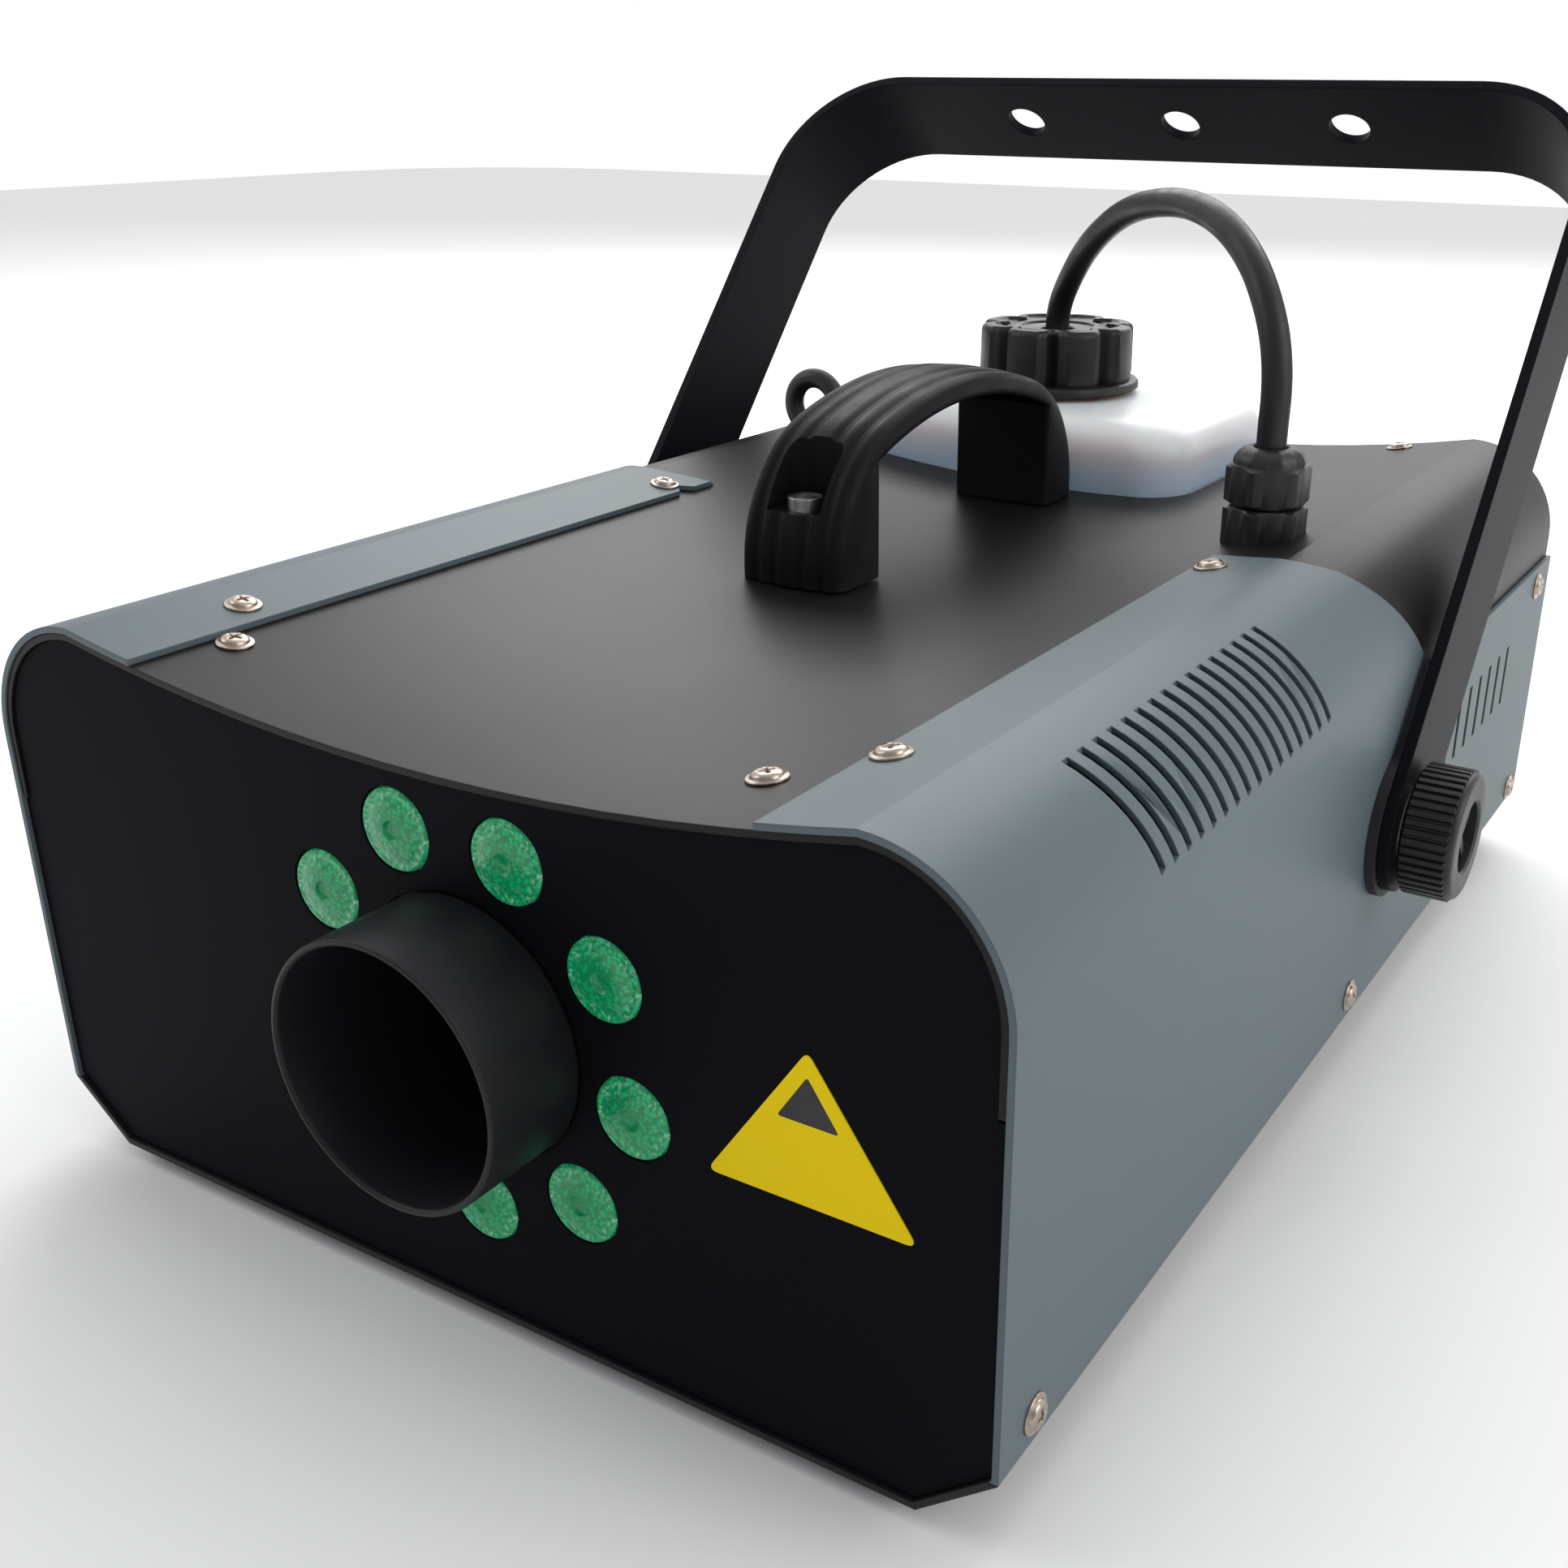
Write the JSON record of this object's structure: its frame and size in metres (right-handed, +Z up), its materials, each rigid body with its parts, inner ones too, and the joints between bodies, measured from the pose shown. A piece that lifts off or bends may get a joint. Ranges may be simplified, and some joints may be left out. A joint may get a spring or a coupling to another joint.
{
  "type": "fog machine",
  "caption": "Floor or truss mounted fog machine with a front outlet ringed by lights, a lift-out fluid tank, a carry handle and a clamped tilting bracket.",
  "frame": {"origin": "on the floor below the middle of the bounding box", "axes": "+X is to the right seen from the front, looking at the outlet, +Y runs from the outlet to the rear panel, +Z up"},
  "size_m": [0.302, 0.414, 0.2472],
  "materials": {
    "base_tray": "satin black powder coat",
    "front_panel": "satin black powder coat",
    "rear_panel": "satin black powder coat",
    "top_cover": "satin black powder coat",
    "left_side_cover": "satin blue-grey paint",
    "right_side_cover": "satin blue-grey paint",
    "tank_bay": "satin",
    "cover_screws": "nickel plated",
    "rubber_feet": "matt",
    "foot_screws": "zinc plated",
    "front_label": "printed film",
    "nozzle_tube": "satin black powder coat",
    "heater_nozzle": "turned",
    "led_lenses": "clear, lit green",
    "lens_holders": "matt",
    "led_board": "solder mask",
    "led_emitters": "clear",
    "heater_block": "cast",
    "heater_shroud": "sheet",
    "heater_brackets": "zinc plated",
    "heater_element": "dull",
    "thermostats": "matt",
    "pump_body": "semi-gloss",
    "pump_bracket": "zinc plated",
    "pump_dampers": "matt",
    "suction_hose": "satin",
    "pressure_pipe": "drawn copper alloy",
    "control_board": "solder mask",
    "board_standoffs": "turned",
    "board_relays": "moulded",
    "transformer": "varnished",
    "carry_handle": "moulded, fine grain",
    "handle_screws": "blackened",
    "gland_body": "moulded",
    "gland_dome_nut": "moulded",
    "gland_locknut": "moulded",
    "fluid_hose": "satin",
    "pickup_tube": "clear",
    "pickup_filter": "sintered",
    "fluid_tank": "translucent",
    "cap_seal": "satin",
    "tank_cap": "moulded",
    "safety_eye": "semi-gloss black",
    "eye_nut": "zinc plated",
    "mounting_bracket": "fine-texture black powder coat",
    "left_knob": "moulded",
    "right_knob": "moulded",
    "left_stud": "zinc plated",
    "right_stud": "zinc plated",
    "left_washer": "zinc plated",
    "right_washer": "zinc plated",
    "friction_pads": "matt",
    "pivot_nuts": "yellow zinc plated",
    "power_inlet": "moulded",
    "fuse_cap": "moulded",
    "power_switch": "moulded",
    "power_rocker": "moulded",
    "remote_socket": "satin nickel",
    "fog_button": "moulded",
    "button_housing": "moulded"
  },
  "bodies": {
    "housing": {"base_tray": "base_tray", "front_panel": "front_panel", "rear_panel": "rear_panel", "top_cover": "top_cover", "left_side_cover": "left_side_cover", "right_side_cover": "right_side_cover", "tank_bay": "tank_bay", "cover_screws": "cover_screws", "rubber_feet": "rubber_feet", "foot_screws": "foot_screws", "front_label": "front_label", "nozzle_tube": "nozzle_tube", "heater_nozzle": "heater_nozzle", "led_lenses": "led_lenses", "lens_holders": "lens_holders", "led_board": "led_board", "led_emitters": "led_emitters", "heater_block": "heater_block", "heater_shroud": "heater_shroud", "heater_brackets": "heater_brackets", "heater_element": "heater_element", "thermostats": "thermostats", "pump_body": "pump_body", "pump_bracket": "pump_bracket", "pump_dampers": "pump_dampers", "suction_hose": "suction_hose", "pressure_pipe": "pressure_pipe", "control_board": "control_board", "board_standoffs": "board_standoffs", "board_relays": "board_relays", "transformer": "transformer", "carry_handle": "carry_handle", "handle_screws": "handle_screws", "gland_body": "gland_body", "gland_dome_nut": "gland_dome_nut", "gland_locknut": "gland_locknut", "fluid_hose": "fluid_hose", "safety_eye": "safety_eye", "eye_nut": "eye_nut", "friction_pads": "friction_pads", "pivot_nuts": "pivot_nuts", "power_inlet": "power_inlet", "power_switch": "power_switch", "remote_socket": "remote_socket", "button_housing": "button_housing"},
    "bracket": {"mounting_bracket": "mounting_bracket"},
    "left_clamp": {"left_washer": "left_washer"},
    "left_turn": {"left_knob": "left_knob", "left_stud": "left_stud"},
    "right_clamp": {"right_washer": "right_washer"},
    "right_turn": {"right_knob": "right_knob", "right_stud": "right_stud"},
    "tank": {"fluid_tank": "fluid_tank", "pickup_tube": "pickup_tube", "pickup_filter": "pickup_filter"},
    "cap_carrier": {"cap_seal": "cap_seal"},
    "cap": {"tank_cap": "tank_cap"},
    "fuse": {"fuse_cap": "fuse_cap"},
    "rocker": {"power_rocker": "power_rocker"},
    "button": {"fog_button": "fog_button"}
  },
  "joints": [
    {"name": "bracket_tilt", "type": "hinge", "parent": "housing", "child": "bracket", "pos_m": [0, 0.0315, 0.0684], "axis": [1, 0, 0], "range_deg": [-60, 105]},
    {"name": "right_clamp_slide", "type": "slide", "parent": "housing", "child": "right_clamp", "axis": [1, 0, 0], "range_m": [0, 0.0025]},
    {"name": "right_knob_turn", "type": "hinge", "parent": "right_clamp", "child": "right_turn", "pos_m": [0.144, 0.0315, 0.0684], "axis": [1, 0, 0], "range_deg": [0, 725]},
    {"name": "left_clamp_slide", "type": "slide", "parent": "housing", "child": "left_clamp", "axis": [-1, 0, 0], "range_m": [0, 0.0025]},
    {"name": "left_knob_turn", "type": "hinge", "parent": "left_clamp", "child": "left_turn", "pos_m": [-0.144, 0.0315, 0.0684], "axis": [-1, 0, 0], "range_deg": [0, 725]},
    {"name": "tank_lift", "type": "slide", "parent": "housing", "child": "tank", "axis": [0, 0, 1], "range_m": [0, 0.045], "deforming": ["fluid_hose"]},
    {"name": "cap_rise", "type": "slide", "parent": "tank", "child": "cap_carrier", "axis": [0, 0, 1], "range_m": [0, 0.004]},
    {"name": "cap_turn", "type": "hinge", "parent": "cap_carrier", "child": "cap", "pos_m": [-0.028, 0.146, 0.16], "axis": [0, 0, 1], "range_deg": [0, 365]},
    {"name": "rocker_tilt", "type": "hinge", "parent": "housing", "child": "rocker", "pos_m": [0.06, 0.201, 0.049], "axis": [1, 0, 0], "range_deg": [-18, 0]},
    {"name": "fuse_cap_turn", "type": "hinge", "parent": "housing", "child": "fuse", "pos_m": [0.095, 0.201, 0.082], "axis": [0, 1, 0], "range_deg": [0, 60]},
    {"name": "fog_button_press", "type": "slide", "parent": "housing", "child": "button", "axis": [0, -1, 0], "range_m": [0, 0.002], "stiffness_N_per_m": 300}
  ],
  "couplings": [
    {"joint": "right_knob_turn", "follows": "right_clamp_slide", "rad_per_m": 5026.5},
    {"joint": "left_knob_turn", "follows": "left_clamp_slide", "rad_per_m": 5026.5},
    {"joint": "cap_turn", "follows": "cap_rise", "rad_per_m": 1570.8}
  ]
}
